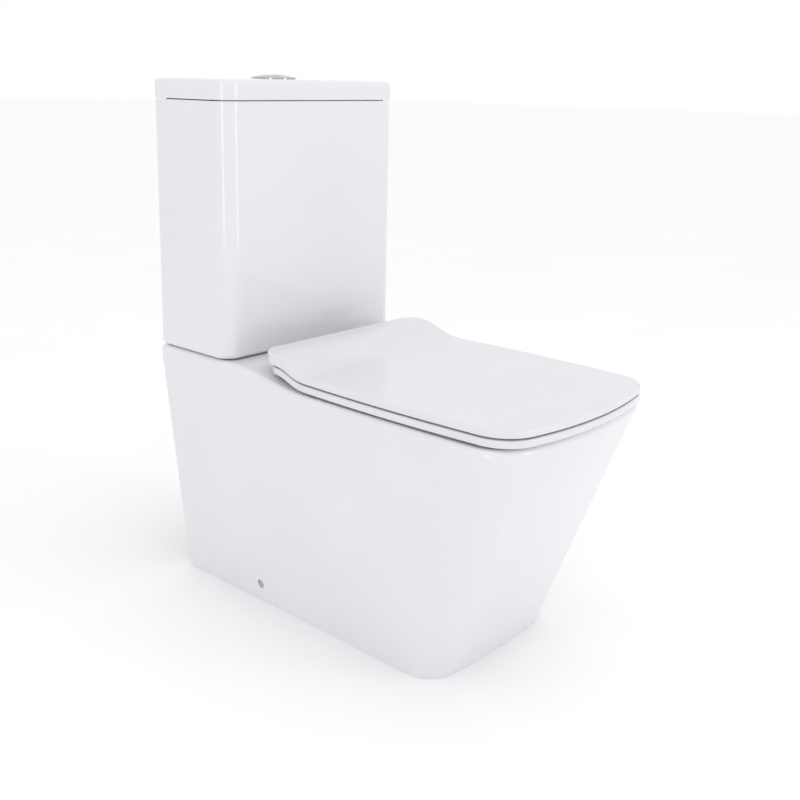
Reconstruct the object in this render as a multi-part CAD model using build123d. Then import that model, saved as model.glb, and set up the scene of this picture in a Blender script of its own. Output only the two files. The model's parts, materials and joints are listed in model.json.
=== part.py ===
from build123d import *
import os
from math import cos, radians, sin

# A back-to-wall close coupled toilet: pan, cistern with its valves, and a hinged seat.
#
# Millimetres. +Z is up and the toilet faces -Y. While it is modelled, y = 0 is the wall behind it
# and every y is negative. The pieces are then moved so that the origin is on the floor, in the
# middle of the whole toilet's footprint.

# --- pan ---------------------------------------------------------------------------------------
pan_length = 690.0  # wall to the front of the rim
pan_half_width = 183.0  # at the rim
base_half_width = 140.0  # at the floor
base_length = 547.0  # wall to the front of the base
rim_z = 378.0  # top of the rim, under the seat
deck_z = 397.0  # top of the deck, under the cistern
rim_corner = 66.0  # front corners of the rim, in plan
base_corner = 48.0  # front corners of the base, in plan
rim_bow = 24.0  # how far the middle of the rim's front stands ahead of its ends
base_bow = 9.0
pan_wall = 11.0
deck_thickness = 16.0
ramp_front_gap = 157.0  # from the cistern's front to where the deck starts to rise
ramp_rear_gap = 12.0  # from the cistern's front to where the deck is level again
deck_edge_radius = 9.0

# --- bowl and waterways --------------------------------------------------------------------------
bowl_half_width = 120.0
bowl_front_land = 46.0  # rim's width at the front
bowl_rear_gap = 173.0  # from the cistern's front to the back of the bowl's mouth
bowl_corner = 100.0
bowl_wall = 10.0
sump_half_width = 37.0
sump_gap = 30.0  # from the back of the bowl's mouth to the back of the sump
bowl_lip = 4.0  # the bowl's outer form stops this far under the rim
bowl_steps = [
    # below the rim, then how far the sides, back, front and corners have drawn in by there
    (70.0, 7.0, -1.0, 14.0, 8.0),
    (150.0, 30.0, 6.0, 52.0, 24.0),
    (222.0, 62.0, 22.0, 122.0, 50.0),
]
sump_z = 82.0
trap_bore = 37.0  # radius
trap_wall = 9.0
dip_z = 121.0  # centre of the trap's lowest run
weir_z = 236.0  # centre of the trap's highest run
weir_gap = 12.0  # from the weir's front end to the back of the bowl's mouth
weir_bends = 1.45  # length of the highest run, in bend radii
dip_gap = 46.0  # from the weir's front end to the end of the lowest run
bend_margin = 7.0  # a bend's radius over its tube's outer radius
outlet_z = 180.0  # centre of the outlet
spigot_radius = 51.0
spigot_length = 55.0
spigot_recess = 62.0  # wall to the spigot's end
recess_clearance = 3.0  # round the coupling gasket
recess_depth = 25.0
inlet_bore = 26.0  # radius
channel_half_width = 34.0  # the channel that feeds the bowl
channel_z = 318.0  # its floor
channel_height = 36.0
channel_wall = 8.0
hole_depth = 60.0  # how far below the deck its holes are cut
recess_collar_lap = 4.0  # where the recess, the channel and the inlet run into each other

# --- cistern -------------------------------------------------------------------------------------
cistern_half_width = 185.0
cistern_depth = 163.0
cistern_height = 383.0
cistern_corner = 30.0  # front vertical corners
cistern_rear_corner = 8.0
cistern_wall = 11.0
cistern_edge_radius = 8.0
pad_thickness = 1.5  # rubber under the cistern and under the tank lid
tank_lid_overhang = 1.6
tank_lid_height = 31.0
tank_lid_top = 12.0  # thickness of its top wall
tank_lid_edge_radius = 7.0
locating_rib_depth = 9.0
locating_rib_wall = 6.0
locating_clearance = 3.0

# --- flush buttons -------------------------------------------------------------------------------
bezel_flange = 8.5  # how far the bezel stands out from its barrel
bezel_rim = 2.0  # height of the bezel's outer edge above the tank lid
dome_rise = 4.6  # crown of the bezel and buttons over that edge
barrel_wall = 2.9
barrel_hole_clearance = 1.0
barrel_length = 30.0
web_thickness = 4.0  # of the web that guides the buttons' stems
locknut_flange = 7.0  # how far the locknut stands out from the barrel
button_radius = 24.0
button_clearance = 0.6
button_thickness = 6.0
button_split_x = -5.0  # the smaller, half flush button is on the -X side of this line
stem_x = 13.0
stem_radius = 4.5
rod_radius = 2.5
rod_gap = 1.5  # between a rod and its lever at rest

# --- valves inside the cistern -------------------------------------------------------------------
washer_thickness = 3.0
tail_radius = 29.5
tail_wall = 5.5
flange_room = 5.0  # from the valve's flange to the tank's inner corner
tail_drop = 22.0  # length of the flush valve's tail below the tank
hole_clearance = 1.5
valve_flange = 10.5  # how far the flush valve's flange and nut stand out from its tail
valve_flange_height = 7.0
cage_edge = 1.0  # from a column to the edge of the cage's top plate
cage_column = 4.0
cage_top_drop = 57.5  # from the tank's rim to the cage's top
cage_top_height = 5.0
bracket_height = 3.0  # of the disc on the cage that carries the levers
overflow_radius = 14.0
overflow_bore = 12.0
overflow_foot = 8.0  # how far the overflow's foot stands out
overflow_foot_height = 5.0
overflow_top_drop = 81.5  # from the tank's rim to the overflow's top
seal_lap = 5.0  # how far the seal laps over its seat
seal_clearance = 1.0  # between the rising seal and the columns
seal_height = 6.0
lever_pivot_x = 34.0
lever_pivot_rise = 21.0  # flush levers' pivots above the cage's top
lever_half_height = 3.0
lever_half_width = 5.0
lever_inner_reach = 6.0  # past the rod's axis
lever_outer_reach = 12.0  # past its own pivot
lug_thickness = 5.0
lug_half_length = 5.0
lug_rise = 5.0  # above the pivot
pin_radius = 2.0
running_clearance = 0.06
fill_x = 108.0
fill_gap = 40.0  # the fill valve stands this far in front of the flush valve
fill_thread_radius = 10.5  # a half inch pipe thread
fill_tail_length = 34.0
fill_hole_room = 11.0  # round the fill valve's tail, in the deck
relief_width = 1.5  # groove between the nut's thread and the hose's
relief_depth = 0.7
fill_collar = 7.0  # how far the collar stands out from the thread
fill_collar_height = 6.0
fill_bore_wall = 3.0
fill_pivot_offset = 14.0  # from the valve's axis to the lever's pivot
fill_pivot_rise = 9.0  # pivot above the head's top
fill_lug_height = 14.0
fill_lug_thickness = 4.0
fill_lever_half_width = 4.0
fill_lever_tip = 8.0  # past the float's rod
float_wall = 2.0
float_play = 1.5  # round the riser
fill_stem_radius = 12.0
fill_head_radius = 20.0
fill_head_drop = 81.5  # from the tank's rim to the underside of the fill valve's head
fill_head_height = 30.0
float_radius = 27.0
float_height = 62.0
float_drop = 100.0  # from that underside to the float's bottom
float_rod_reach = 23.0
nut_height = 10.0
nut_flange = 7.0  # how far the small nuts stand out from their thread
gasket_wall = 8.0
gasket_compressed = 13.0  # thickness under the backnut

# --- fastenings ----------------------------------------------------------------------------------
cistern_bolt_x = 88.0
cistern_bolt_radius = 4.0
cistern_bolt_drop = 62.0
bolt_head_radius = 9.0
bolt_head_height = 6.0
bolt_hole_room = 2.5  # round a cistern bolt, in the deck
bracket_y = -187.0
bracket_screw_z = 31.0
side_hole_radius = 7.0
bracket_screw_radius = 3.0
bracket_thickness = 4.0
bracket_length = 46.0
bracket_base_width = 34.0
bracket_wall_gap = 5.0
floor_hole_radius = 4.0

# --- seat ----------------------------------------------------------------------------------------
seat_front_overhang = 5.0  # seat's front ahead of the rim's
seat_side_gap = 7.0  # seat's widest side inside the rim's side
seat_rear_taper = 10.0  # how much narrower each side is at the back
seat_front_taper = 8.0  # and at the front
seat_corner = 58.0
seat_bow = 26.0
seat_rear_corner = 32.0
seat_gap = 3.0  # rim to ring
ring_thickness = 10.5
ring_lid_gap = 2.5
lid_thickness = 10.0
lid_skin = 5.0
lid_border = 14.0
knuckle_bay = 20.0  # from the hinge axis to the ring's edge between its back corners
ring_ear = 4.0  # how far behind the hinge axis the ring's outline would end
ring_trim = 6.5  # from the hinge axis to the ring's cut back, clear of the raised lid
ring_rise = 13.0  # how far the ring's back end sweeps up
knuckle_clearance = 0.5  # from the ring's knuckles to the lid's skin
lid_rear_gap = 15.0  # from the hinge axis to the back of the lid
seat_opening_half_width = 108.0
seat_opening_flat = 12.0  # half of the straight part across its ends
seat_opening_gap = 14.0  # from the back of the bowl's mouth to the back of the opening
seat_opening_land = 78.0  # ring's width at the front
seat_edge_radius = 2.5
hinge_gap = 69.0  # from the cistern's front to the hinge axis
hinge_rise = 14.0  # hinge axis above the deck
hinge_x = 77.5  # half of the standard 155 mm between hinge fixings
pillar_height = 22.5  # from its seat on the pan to the hinge axis
pillar_half_width = 7.0
pillar_wall = 3.0  # round the hinge pin
knuckle_wall = 2.1  # round a damper
hinge_pin_radius = 4.0
knuckle_side_gap = 1.5
slot_side_gap = 3.0  # beside a pillar, in the lid
slot_front_gap = 4.0  # from the hinge axis to the slot's front
ring_knuckle_width = 26.0
lid_knuckle_width = 26.0
damper_wall = 2.4
damper_length = 22.0
rosette_radius = 15.5
rosette_thickness = 4.0
rosette_clearance = 1.0
stud_radius = 3.0
stud_hole_room = 2.0  # round a stud, in the deck
wing_span = 30.0
stud_grip = 10.0  # length of a stud inside its pillar
stud_tail = 18.0  # length of a stud below the boss it passes
hinge_boss_radius = 13.0  # flat boss under the sloping deck
hinge_boss_drop = 20.0  # from the pillar's seat down to the boss's underside
buffer_radius = 8.0
ring_buffer_front = 180.0  # from the seat's front to the ring's front feet
ring_buffer_rear = 10.0  # from the back of the opening to its back feet
lid_buffer_front = 135.0
lid_buffer_rear = 40.0

# --- places that follow from the sizes above -----------------------------------------------------
valve_flange_radius = tail_radius + valve_flange
# the flush valve, the inlet and the buttons share this line
inlet_y = -(cistern_wall + cistern_edge_radius + flange_room + valve_flange_radius)
fill_y = inlet_y - fill_gap
lever_bay = lever_half_width + button_clearance
bowl_rear = cistern_depth + bowl_rear_gap
weir_front = bowl_rear - weir_gap
cistern_z = deck_z + pad_thickness
cistern_floor_z = cistern_z + cistern_wall
cistern_top_z = cistern_z + cistern_height
tank_lid_z = cistern_top_z + pad_thickness
cage_top_z = cistern_top_z - cage_top_drop
overflow_top_z = cistern_top_z - overflow_top_drop
lever_pivot_z = cage_top_z + lever_pivot_rise
fill_head_z = cistern_top_z - fill_head_drop
float_z = fill_head_z - float_drop
fill_pivot_z = fill_head_z + fill_head_height + fill_pivot_rise
tail_bore = tail_radius - tail_wall
backnut_radius = tail_radius + valve_flange
gasket_radius = backnut_radius + gasket_wall
recess_radius = gasket_radius + recess_clearance
seal_radius = tail_bore + seal_lap
barrel_radius = button_radius + button_clearance + barrel_wall
bezel_radius = barrel_radius + bezel_flange
damper_radius = hinge_pin_radius + damper_wall
knuckle_radius = damper_radius + knuckle_wall
pillar_half_depth = hinge_pin_radius + pillar_wall
seat_front = pan_length + seat_front_overhang
seat_half_width = pan_half_width - seat_side_gap
seat_rear_half_width = seat_half_width - seat_rear_taper
seat_front_half_width = seat_half_width - seat_front_taper
seat_opening_rear = bowl_rear + seat_opening_gap
tank_lid_top_z = tank_lid_z + tank_lid_height
bezel_edge_z = tank_lid_top_z + bezel_rim
axis_y = -(cistern_depth + hinge_gap)
axis_z = deck_z + hinge_rise
ramp_front = -(cistern_depth + ramp_front_gap)
ramp_rear = -(cistern_depth + ramp_rear_gap)
column_ring = seal_radius + seal_clearance + cage_column
cage_radius = column_ring + cage_column + cage_edge
trap_bend = trap_bore + trap_wall + bend_margin
sump_rear = bowl_rear + sump_gap
sump_front = sump_rear + 2 * sump_half_width
ring_z = rim_z + seat_gap
ring_top_z = ring_z + ring_thickness
lid_z = ring_top_z + ring_lid_gap
lid_top_z = lid_z + lid_thickness
lid_crest = axis_z + knuckle_radius + knuckle_clearance + lid_skin - lid_top_z
hinge_seat_z = axis_z - pillar_height
hinge_under = hinge_seat_z - hinge_boss_drop
knuckle_start = hinge_x + pillar_half_width + knuckle_side_gap
ring_knuckle_x = knuckle_start + ring_knuckle_width / 2
lid_knuckle_x = knuckle_start + ring_knuckle_width + knuckle_side_gap + lid_knuckle_width / 2
overall_depth = seat_front
far = 1000.0


def mirrored(part):
    """The part and its mirror image across the middle plane, as one group of solids."""
    return Compound([*part.solids(), *mirror(part, about=Plane.YZ).solids()])


def cylinder(radius, bottom, top, x=0.0, y=0.0):
    """An upright cylinder between two heights."""
    return Pos(x, y, (bottom + top) / 2) * Cylinder(radius, top - bottom)


def block(low, high):
    """A box between two corners."""
    size = [high[i] - low[i] for i in range(3)]
    middle = [(high[i] + low[i]) / 2 for i in range(3)]
    return Pos(*middle) * Box(*size)


def across(radius, length, x, y, z):
    """A cylinder that lies along X, centred at x, y, z."""
    return Pos(x, y, z) * Rot(0, 90, 0) * Cylinder(radius, length)


def along(radius, length, x, y, z):
    """A cylinder that lies along Y, centred at x, y, z."""
    return Pos(x, y, z) * Rot(90, 0, 0) * Cylinder(radius, length)


def plan_outline(half_width, front, bow, corner, rear=0.0):
    """A plan outline: straight back and sides, a bowed front and rounded front corners."""
    ends = front + bow
    edges = [
        Line((-half_width, rear), (half_width, rear)),
        Line((half_width, rear), (half_width, ends)),
        ThreePointArc((half_width, ends), (0, front), (-half_width, ends)),
        Line((-half_width, ends), (-half_width, rear)),
    ]
    face = make_face(Curve() + edges)
    return fillet(face.vertices().sort_by(Axis.Y)[:2], radius=corner)


def above_deck(drop):
    """Everything above the deck, its ramp down and the rim, all lowered by drop."""
    high, low = deck_z - drop, rim_z - drop
    reach = ramp_rear - ramp_front
    line = [
        Line((far, high), (ramp_rear, high)),
        Bezier(
            (ramp_rear, high),
            (ramp_rear - 0.35 * reach, high),
            (ramp_front + 0.35 * reach, low),
            (ramp_front, low),
        ),
        Polyline((ramp_front, low), (-far, low), (-far, far), (far, far), (far, high)),
    ]
    return Pos(-far, 0, 0) * extrude(Plane.YZ * make_face(Curve() + line), amount=2 * far)


def skirt(inset, rear, drop):
    """The pan's tapered outer body, inset by a wall and cut to the deck's shape."""
    height = deck_z + 3
    rise = height / rim_z
    sizes = [
        (base_half_width, pan_half_width),
        (base_length, pan_length),
        (base_bow, rim_bow),
        (base_corner, rim_corner),
    ]
    sections = []
    for z, share in ((0, 0), (height, rise)):
        half, length, bow, corner = [low + (high - low) * share for low, high in sizes]
        outline = plan_outline(half - inset, inset - length, bow, corner - inset, rear)
        sections.append(Pos(0, 0, z) * outline)
    return loft(sections, ruled=True) - above_deck(drop)


def bowl(grow):
    """The bowl's cavity, or with grow its outer form: rounded sections down to the sump."""
    mouth_front = pan_length - bowl_front_land
    mouth_z = rim_z - bowl_lip if grow else rim_z + 2
    sections = [(mouth_z, bowl_half_width, bowl_rear, mouth_front, bowl_corner)]
    for drop, side, back, ahead, tighter in bowl_steps:
        rear, front = bowl_rear + back, mouth_front - ahead
        sections.append((rim_z - drop, bowl_half_width - side, rear, front, bowl_corner - tighter))
    sections.append((sump_z - grow, sump_half_width, sump_rear, sump_front, sump_half_width - 2))
    faces = []
    for z, half_width, rear, front, corner in sections:
        width, length = 2 * (half_width + grow), front - rear + 2 * grow
        faces.append(Pos(0, -(front + rear) / 2, z) * RectangleRounded(width, length, corner + grow))
    return loft(faces)


def trap(radius):
    """The trapway: down out of the sump, up over the weir and out to the spigot."""
    weir_rear = weir_front - weir_bends * trap_bend
    path = FilletPolyline(
        (0, -sump_front, dip_z),
        (0, -(weir_front + dip_gap), dip_z),
        (0, -weir_front, weir_z),
        (0, -weir_rear, weir_z),
        (0, -(weir_rear - trap_bend), outlet_z),
        (0, -spigot_recess, outlet_z),
        radius=trap_bend,
    )
    return sweep(Plane(origin=path @ 0, z_dir=path % 0) * Circle(radius), path=path)


def channel(grow):
    """The flat channel under the deck, from below the cistern's inlet to the back of the bowl."""
    return block(
        (-channel_half_width - grow, -bowl_rear - bowl_wall / 2, channel_z - grow),
        (channel_half_width + grow, inlet_y + channel_half_width + grow, channel_z + channel_height + grow),
    )


def deck_edges(body):
    """The edges round the top of the skirt, apart from the one against the wall."""
    tops = [f for f in body.faces() if f.center().Z > rim_z - 1 and f.normal_at().Z > 0.7]
    found = []
    for edge in (e for face in tops for e in face.edges()):
        box = edge.bounding_box()
        if box.size.X < 2 * base_half_width or box.size.Y > 1:
            found.append(edge)
    return found


def pan():
    """The glazed pan: skirt, deck and rim, bowl, trapway, spigot and inlet, fired as one piece."""
    outer = skirt(0, 0, 0)
    outer = fillet(deck_edges(outer), radius=deck_edge_radius)
    body = outer - skirt(pan_wall, pan_wall, deck_thickness)
    recess_floor = deck_z - recess_depth
    spigot_middle = -(spigot_recess + spigot_length / 2)
    body += bowl(bowl_wall) & outer
    body += trap(trap_bore + trap_wall) & outer
    body += along(spigot_radius, spigot_length, 0, spigot_middle, outlet_z)
    body += channel(channel_wall) & outer
    collar_top = deck_z - recess_collar_lap
    body += cylinder(recess_radius + bowl_wall, channel_z + 6, collar_top, 0, inlet_y) & outer
    for side in (-1, 1):
        body += cylinder(hinge_boss_radius, hinge_under, hinge_seat_z - 1, side * hinge_x, axis_y)
    body -= bowl(0)
    body -= trap(trap_bore)
    body -= channel(0)
    body -= cylinder(inlet_bore, channel_z + recess_collar_lap, deck_z, 0, inlet_y)
    body -= cylinder(recess_radius, recess_floor, far, 0, inlet_y)
    hole_end = deck_z - hole_depth
    for side in (-1, 1):
        body -= cylinder(cistern_bolt_radius + bolt_hole_room, hole_end, far, side * cistern_bolt_x, inlet_y)
        body -= cylinder(rosette_radius + rosette_clearance, hinge_seat_z, far, side * hinge_x, axis_y)
        body -= cylinder(stud_radius + stud_hole_room, hole_end, far, side * hinge_x, axis_y)
        body -= across(side_hole_radius, 60, side * (base_half_width + 4), bracket_y, bracket_screw_z)
    body -= cylinder(fill_thread_radius + fill_hole_room, hole_end, far, fill_x, fill_y)
    return body


def cistern_outline(grow, back):
    """The cistern's outline in plan, its sides and front grown (or shrunk below zero)."""
    width, front = 2 * (cistern_half_width + grow), -cistern_depth - grow
    outline = Pos(0, (front + back) / 2) * Rectangle(width, back - front)
    by_depth = outline.vertices().sort_by(Axis.Y)
    outline = fillet(by_depth[:2], radius=cistern_corner + grow)
    by_depth = outline.vertices().sort_by(Axis.Y)
    return fillet(by_depth[-2:], radius=max(cistern_rear_corner + grow, 2.0))


def cistern():
    """The tank, open at the top, with holes for the two valves and the two bolts."""
    body = extrude(cistern_outline(0, 0), amount=cistern_height)
    body = fillet(body.faces().sort_by(Axis.Z)[0].edges(), radius=cistern_edge_radius)
    hollow = extrude(cistern_outline(-cistern_wall, -cistern_wall), amount=cistern_height)
    body -= Pos(0, 0, cistern_wall) * fillet(
        hollow.faces().sort_by(Axis.Z)[0].edges(), radius=cistern_edge_radius
    )
    body = Pos(0, 0, cistern_z) * body
    body -= cylinder(tail_radius + hole_clearance, 0, cistern_floor_z + 1, 0, inlet_y)
    body -= cylinder(fill_thread_radius + hole_clearance, 0, cistern_floor_z + 1, fill_x, fill_y)
    for side in (-1, 1):
        hole = cistern_bolt_radius + hole_clearance
        body -= cylinder(hole, 0, cistern_floor_z + 1, side * cistern_bolt_x, inlet_y)
    return body


def tank_lid():
    """The tank's lid: a hollow slab with a rib that drops inside the tank and a button hole."""
    body = extrude(cistern_outline(tank_lid_overhang, 0), amount=tank_lid_height)
    body = fillet(body.faces().sort_by(Axis.Z)[-1].edges(), radius=tank_lid_edge_radius)
    inner = -cistern_wall - locating_clearance
    rib = extrude(cistern_outline(inner, inner), amount=tank_lid_height)
    body += Pos(0, 0, -locating_rib_depth) * rib
    inner -= locating_rib_wall
    hollow = extrude(cistern_outline(inner, inner), amount=far)
    body -= Pos(0, 0, tank_lid_height - tank_lid_top - far) * hollow
    body = Pos(0, 0, tank_lid_z) * body
    return body - cylinder(barrel_radius + barrel_hole_clearance, tank_lid_z, far, 0, inlet_y)


def strip_pads(z, inset):
    """Two rubber strips along the sides of the cistern's outline."""
    length = cistern_depth - 2 * cistern_corner
    strip = block((cistern_half_width - inset - 6, -cistern_depth / 2 - length / 2, z), (
        cistern_half_width - inset, -cistern_depth / 2 + length / 2, z + pad_thickness))
    return mirrored(strip)


def dome():
    """Everything under the crown that the bezel and the buttons share."""
    radius = (bezel_radius**2 + dome_rise**2) / (2 * dome_rise)
    return Pos(0, inlet_y, bezel_edge_z + dome_rise - radius) * Sphere(radius)


def button_bezel():
    """The ring round the buttons, with its threaded barrel and the web that guides the stems."""
    top = bezel_edge_z + dome_rise + 1
    flange = cylinder(bezel_radius, tank_lid_top_z, top, 0, inlet_y) & dome()
    bottom = tank_lid_top_z - barrel_length
    body = flange + cylinder(barrel_radius, bottom, tank_lid_top_z + 1, 0, inlet_y)
    body -= cylinder(button_radius + button_clearance, bottom + web_thickness, far, 0, inlet_y)
    for side in (-1, 1):
        body -= cylinder(stem_radius + button_clearance, 0, far, side * stem_x, inlet_y)
    return body


def bezel_locknut():
    """The ring nut that clamps the bezel from under the tank lid."""
    top = tank_lid_top_z - tank_lid_top
    body = cylinder(barrel_radius + locknut_flange, top - nut_height, top, 0, inlet_y)
    for turn in range(0, 360, 45):
        lug = Rot(0, 0, turn) * block((barrel_radius + 6, -3, 0), (barrel_radius + 10, 3, nut_height))
        body += Pos(0, inlet_y, top - nut_height) * lug
    return body - cylinder(barrel_radius, 0, far, 0, inlet_y)


def flush_button(side):
    """One button: its share of the dome, and the stem that runs in the bezel's web."""
    low = bezel_edge_z + dome_rise - button_thickness - 2
    disc = cylinder(button_radius, low, low + 20, 0, inlet_y) & dome()
    gap = button_clearance
    if side > 0:
        share = block((button_split_x + gap, -far, 0), (far, far, far))
    else:
        share = block((-far, -far, 0), (button_split_x - gap, far, far))
    stem_bottom = tank_lid_top_z - barrel_length - 4
    body = (disc & share) + cylinder(stem_radius, stem_bottom, low + 1, side * stem_x, inlet_y)
    return body - cylinder(rod_radius, 0, stem_bottom + 12, side * stem_x, inlet_y)


def push_rod(side):
    """The rod, set by its length, that carries a button's push down to its lever."""
    top = tank_lid_top_z - barrel_length - 4 + 12
    bottom = lever_pivot_z + lever_half_height + rod_gap
    return cylinder(rod_radius, bottom, top, side * stem_x, inlet_y)


def ring_nut(radius, bore, top, x, y, height=nut_height, sides=6):
    """A nut with flats, hanging down from top."""
    flats = extrude(RegularPolygon(radius, sides), amount=height)
    return Pos(x, y, top - height) * flats - cylinder(bore, 0, far, x, y)


def flush_valve_base():
    """The valve's seat and its threaded tail, which passes through the tank's floor."""
    seat_z = cistern_floor_z + washer_thickness
    body = cylinder(valve_flange_radius, seat_z, seat_z + valve_flange_height, 0, inlet_y)
    body += cylinder(tail_radius, cistern_z - tail_drop, seat_z + 1, 0, inlet_y)
    return body - cylinder(tail_bore, 0, far, 0, inlet_y)


def flush_valve_cage():
    """A foot ring and a top plate joined by four columns, round the overflow tube."""
    foot = cistern_floor_z + washer_thickness + valve_flange_height
    top = cage_top_z - bracket_height
    body = cylinder(cage_radius, top - cage_top_height, top, 0, inlet_y)
    body += cylinder(valve_flange_radius, foot, foot + cage_top_height, 0, inlet_y)
    body -= cylinder(seal_radius + 2 * seal_clearance, 0, foot + cage_top_height + 1, 0, inlet_y)
    for turn in range(45, 360, 90):
        x = column_ring * cos(radians(turn))
        y = inlet_y + column_ring * sin(radians(turn))
        body += cylinder(cage_column, foot, top - 1, x, y)
    return body - cylinder(overflow_radius + button_clearance, 0, far, 0, inlet_y)


def lugs(x, inner, thickness, half_length, bottom, top):
    """A pair of upright lugs, one on each side of a lever, for its pin."""
    lug = block((-half_length, inner, bottom), (half_length, inner + thickness, top))
    return Pos(x, 0, 0) * Compound([lug, mirror(lug, about=Plane.XZ)])


def lever_bracket():
    """The disc on top of the cage, with lugs for the two levers."""
    body = cylinder(cage_radius, cage_top_z - bracket_height, cage_top_z, 0, inlet_y)
    body -= cylinder(overflow_radius + button_clearance, 0, far, 0, inlet_y)
    for side in (-1, 1):
        x = side * lever_pivot_x
        top = lever_pivot_z + lug_rise
        pair = lugs(x, lever_bay, lug_thickness, lug_half_length, cage_top_z - 1, top)
        for lug in pair.solids():
            body += Pos(0, inlet_y, 0) * lug
        body -= along(pin_radius + running_clearance, 2 * far, x, inlet_y, lever_pivot_z)
    return body


def flush_lever(side):
    """A rocking lever with its own pins; the push rod stands over its inner end."""
    inner = lever_pivot_x - stem_x + lever_inner_reach
    half = lever_half_height
    body = block((-inner, -lever_half_width, -half), (lever_outer_reach, lever_half_width, half))
    body += along(pin_radius, 2 * (lever_half_width + lug_thickness), 0, 0, 0)
    body = Pos(lever_pivot_x, inlet_y, lever_pivot_z) * body
    return body if side > 0 else mirror(body, about=Plane.YZ)


def overflow_tube():
    """The tube that lifts with the seal and also drains the tank if it overfills."""
    seal_z = cistern_floor_z + washer_thickness + valve_flange_height
    body = cylinder(overflow_radius, seal_z + seal_height, overflow_top_z, 0, inlet_y)
    foot = seal_z + seal_height
    body += cylinder(overflow_radius + overflow_foot, foot, foot + overflow_foot_height, 0, inlet_y)
    return body - cylinder(overflow_bore, 0, far, 0, inlet_y)


def flush_seal():
    """The soft disc that closes the flush valve's seat."""
    seal_z = cistern_floor_z + washer_thickness + valve_flange_height
    body = cylinder(seal_radius, seal_z, seal_z + seal_height, 0, inlet_y)
    return body - cylinder(overflow_bore, 0, far, 0, inlet_y)


def tank_washer(radius, bore, x, y):
    """A rubber washer on the tank's floor."""
    body = cylinder(radius, cistern_floor_z, cistern_floor_z + washer_thickness, x, y)
    return body - cylinder(bore, 0, far, x, y)


def coupling_gasket():
    """The soft collar that seals the cistern's outlet to the pan's recess."""
    bottom = deck_z - recess_depth
    body = cylinder(gasket_radius, bottom, cistern_z, 0, inlet_y)
    body -= cylinder(backnut_radius, bottom + gasket_compressed, far, 0, inlet_y)
    return body - cylinder(tail_radius, 0, far, 0, inlet_y)


def fill_valve_stem():
    """The fill valve's threaded tail, its collar and its riser."""
    collar = cistern_floor_z + washer_thickness
    nut_under = cistern_z - nut_height
    body = cylinder(fill_thread_radius, cistern_z - fill_tail_length, collar + 1, fill_x, fill_y)
    groove = cylinder(fill_thread_radius + 1, nut_under - relief_width, nut_under, fill_x, fill_y)
    body -= groove - cylinder(fill_thread_radius - relief_depth, 0, far, fill_x, fill_y)
    top = collar + fill_collar_height
    body += cylinder(fill_thread_radius + fill_collar, collar, top, fill_x, fill_y)
    body += cylinder(fill_stem_radius, top - 1, fill_head_z, fill_x, fill_y)
    return body - cylinder(fill_thread_radius - fill_bore_wall, 0, fill_head_z - 10, fill_x, fill_y)


def fill_valve_head():
    """The valve's head, with the lugs that carry its lever."""
    top = fill_head_z + fill_head_height
    body = cylinder(fill_head_radius, fill_head_z, top, fill_x, fill_y)
    pivot_x = fill_x - fill_pivot_offset
    inner = fill_lever_half_width + button_clearance
    height = top + fill_lug_height
    pair = lugs(pivot_x, inner, fill_lug_thickness, fill_lever_half_width, top - 1, height)
    for lug in pair.solids():
        body += Pos(0, fill_y, 0) * lug
    return body - along(pin_radius + running_clearance, 2 * far, pivot_x, fill_y, fill_pivot_z)


def fill_valve_lever():
    """The lever that the float lifts to close the valve."""
    half, reach = fill_lever_half_width, fill_pivot_offset + float_rod_reach + fill_lever_tip
    body = block((-half, -half, -lever_half_height), (reach, half, lever_half_height))
    body += along(pin_radius, 2 * (half + fill_lug_thickness), 0, 0, 0)
    return Pos(fill_x - fill_pivot_offset, fill_y, fill_pivot_z) * body


def fill_valve_float():
    """The float cup round the riser, open below, and the rod that lifts the lever."""
    top = float_z + float_height
    sleeve = fill_stem_radius + float_play
    body = cylinder(float_radius, float_z, top, fill_x, fill_y)
    body -= cylinder(sleeve, 0, far, fill_x, fill_y)
    cup = cylinder(float_radius - float_wall, 0, top - float_wall, fill_x, fill_y)
    body -= cup - cylinder(sleeve + float_wall, 0, far, fill_x, fill_y)
    rod_top = fill_pivot_z - lever_half_height - rod_gap
    return body + cylinder(rod_radius, top - 1, rod_top, fill_x + float_rod_reach, fill_y)


def cistern_bolt(x):
    """A bolt with its head inside the tank."""
    head = cistern_floor_z + washer_thickness
    body = cylinder(cistern_bolt_radius, cistern_floor_z - cistern_bolt_drop, head + 1, x, inlet_y)
    hexagon = RegularPolygon(bolt_head_radius, 6)
    return body + Pos(x, inlet_y, head) * extrude(hexagon, amount=bolt_head_height)


def wing_nut(radius, top, x, y):
    """A wing nut that hangs under a hole, with its washer."""
    body = cylinder(2.6 * radius, top - 2, top, x, y) + cylinder(2 * radius, top - 12, top - 1, x, y)
    wing = block((-wing_span / 2, -1.5, top - 22), (wing_span / 2, 1.5, top - 6))
    body += Pos(x, y, 0) * wing
    return body - cylinder(radius, 0, far, x, y)


def floor_bracket():
    """An L bracket: its foot is screwed to the floor and its upright takes the side screw."""
    face = base_half_width - pan_wall - bracket_wall_gap
    low, high = bracket_y - bracket_length / 2, bracket_y + bracket_length / 2
    upright = block((face - bracket_thickness, low, 0), (face, high, bracket_screw_z + 16))
    foot = block((face - bracket_base_width, low, 0), (face, high, bracket_thickness))
    body = upright + foot
    body -= across(bracket_screw_radius, 30, face, bracket_y, bracket_screw_z)
    for step in (-1, 1):
        x, y = face - bracket_base_width / 2 - 3, bracket_y + step * bracket_length / 4
        body -= cylinder(floor_hole_radius, -1, bracket_thickness + 1, x, y)
    return body


def side_wall_x(z):
    """The pan's half width at a height, on its tapered side."""
    return base_half_width + (pan_half_width - base_half_width) * z / rim_z


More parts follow.
